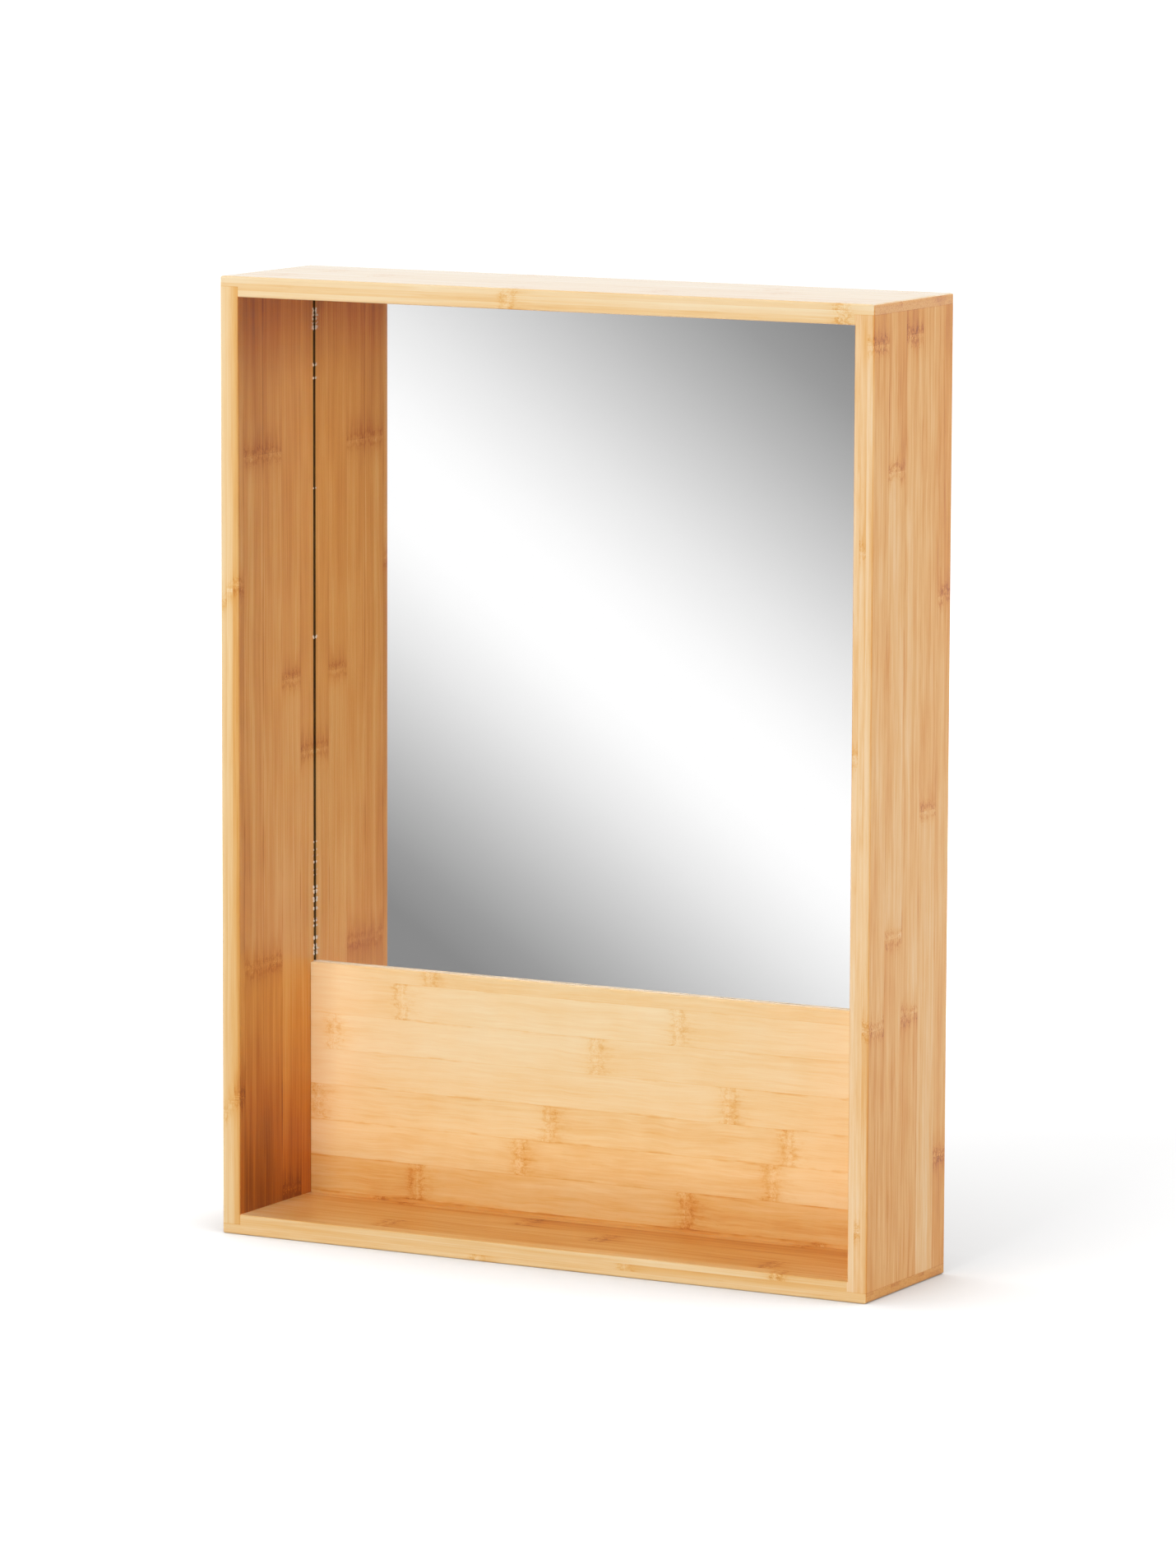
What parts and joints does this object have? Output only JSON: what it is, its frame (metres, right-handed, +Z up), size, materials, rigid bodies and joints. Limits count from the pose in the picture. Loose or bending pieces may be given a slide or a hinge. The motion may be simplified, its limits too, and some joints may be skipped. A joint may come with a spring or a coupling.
{
  "type": "box mirror with shelf",
  "caption": "Open bamboo box with a mirror at the back, a panel below the glass and a bottom board that serves as a shelf; it stands or hangs.",
  "frame": {"origin": "middle of the base, on the surface that the box stands on", "axes": "+X to the viewer's right, +Y from the open front to the wall, +Z up"},
  "size_m": [0.42, 0.1, 0.56],
  "materials": {
    "bamboo": "laminated bamboo, satin clear lacquer",
    "bamboo_panel": "laminated bamboo of pale strips, satin clear lacquer",
    "rail_bamboo": "laminated bamboo, sanded",
    "mirror_glass": "clear float glass",
    "mirror_silvering": "silver with a grey safety film behind it",
    "foam_tape": "white foam",
    "hardboard": "hardboard, smooth side out",
    "zinc_plate": "zinc plated sheet steel",
    "zinc_screw": "zinc plated",
    "steel_pin": "bright steel",
    "steel_point": "stamped sheet steel"
  },
  "bodies": {
    "root": {"left_side": "bamboo", "right_side": "bamboo", "top_board": "bamboo", "bottom_board": "bamboo", "lower_panel": "bamboo_panel", "mirror_glass": "mirror_glass", "mirror_backing": "mirror_silvering", "foam_tape_left": "foam_tape", "foam_tape_middle": "foam_tape", "foam_tape_right": "foam_tape", "back_board": "hardboard", "hanging_rail": "rail_bamboo", "lower_rail": "rail_bamboo", "keyhole_plate_left": "zinc_plate", "keyhole_plate_right": "zinc_plate", "keyhole_screws": "zinc_screw", "lower_rail_screws": "zinc_screw", "corner_pins": "steel_pin", "rail_pins": "steel_pin", "framing_points": "steel_point"}
  },
  "joints": []
}
